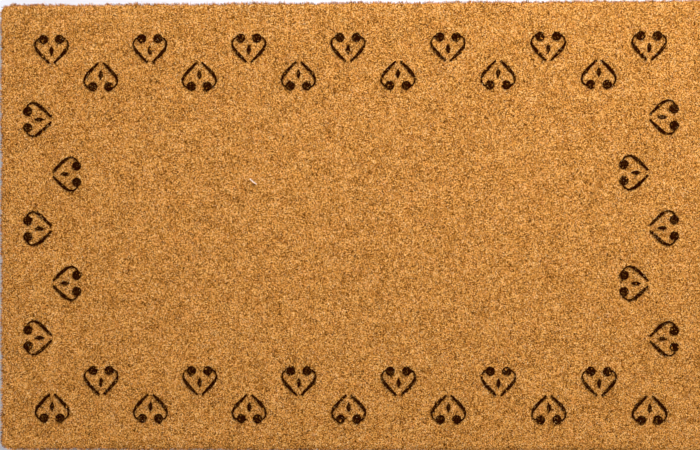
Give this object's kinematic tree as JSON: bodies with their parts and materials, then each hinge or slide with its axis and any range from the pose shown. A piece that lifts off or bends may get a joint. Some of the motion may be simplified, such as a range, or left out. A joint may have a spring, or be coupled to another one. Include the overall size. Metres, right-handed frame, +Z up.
{
  "type": "door mat",
  "caption": "Rectangular hand-woven coir brush mat with cut pile, a plaited edge lashed on with twine, and a border of stencilled scroll hearts.",
  "frame": {"origin": "centre of the mat's underside, on the floor plane", "axes": "+X along the long side, +Y across the mat, +Z up out of the pile"},
  "size_m": [0.889, 0.559, 0.035],
  "materials": {
    "coir_pile": "dry cut coir fibre, matt",
    "dyed_coir": "coir fibre tips dyed brown-black, matt",
    "warp_yarn": "two-ply spun coir yarn, matt",
    "weft_yarn": "two-ply spun coir yarn, matt",
    "edge_cord": "thick twisted coir cord, matt",
    "edge_plait": "plaited coir strands, matt",
    "lashing_twine": "twisted pale coir twine, matt"
  },
  "bodies": {
    "root": {"lower_warps_front": "warp_yarn", "lower_warps_middle": "warp_yarn", "lower_warps_back": "warp_yarn", "weft_shots_far_left": "weft_yarn", "weft_shots_near_left": "weft_yarn", "weft_shots_near_right": "weft_yarn", "weft_shots_far_right": "weft_yarn", "upper_warps_front": "warp_yarn", "upper_warps_middle": "warp_yarn", "upper_warps_back": "warp_yarn", "selvage_cord_front": "edge_cord", "selvage_cord_back": "edge_cord", "end_cord_left": "edge_cord", "end_cord_right": "edge_cord", "edge_plait_front": "edge_plait", "edge_plait_back": "edge_plait", "edge_plait_left": "edge_plait", "edge_plait_right": "edge_plait", "edge_plait_corners": "edge_plait", "lashing_front": "lashing_twine", "lashing_back": "lashing_twine", "lashing_left": "lashing_twine", "lashing_right": "lashing_twine", "pile_section_01": "coir_pile", "pile_section_02": "coir_pile", "pile_section_03": "coir_pile", "pile_section_04": "coir_pile", "pile_section_05": "coir_pile", "pile_section_06": "coir_pile", "pile_section_07": "coir_pile", "pile_section_08": "coir_pile", "pile_section_09": "coir_pile", "pile_section_10": "coir_pile", "pile_section_11": "coir_pile", "pile_section_12": "coir_pile", "pile_section_13": "coir_pile", "pile_section_14": "coir_pile", "pile_section_15": "coir_pile", "pile_section_16": "coir_pile", "pile_section_17": "coir_pile", "pile_section_18": "coir_pile", "pile_section_19": "coir_pile", "pile_section_20": "coir_pile", "pile_section_21": "coir_pile", "pile_section_22": "coir_pile", "pile_section_23": "coir_pile", "pile_section_24": "coir_pile", "outer_hearts_front": "dyed_coir", "outer_hearts_back": "dyed_coir", "outer_hearts_left": "dyed_coir", "outer_hearts_right": "dyed_coir", "inner_hearts_front": "dyed_coir", "inner_hearts_back": "dyed_coir", "inner_hearts_left": "dyed_coir", "inner_hearts_right": "dyed_coir"}
  },
  "joints": []
}
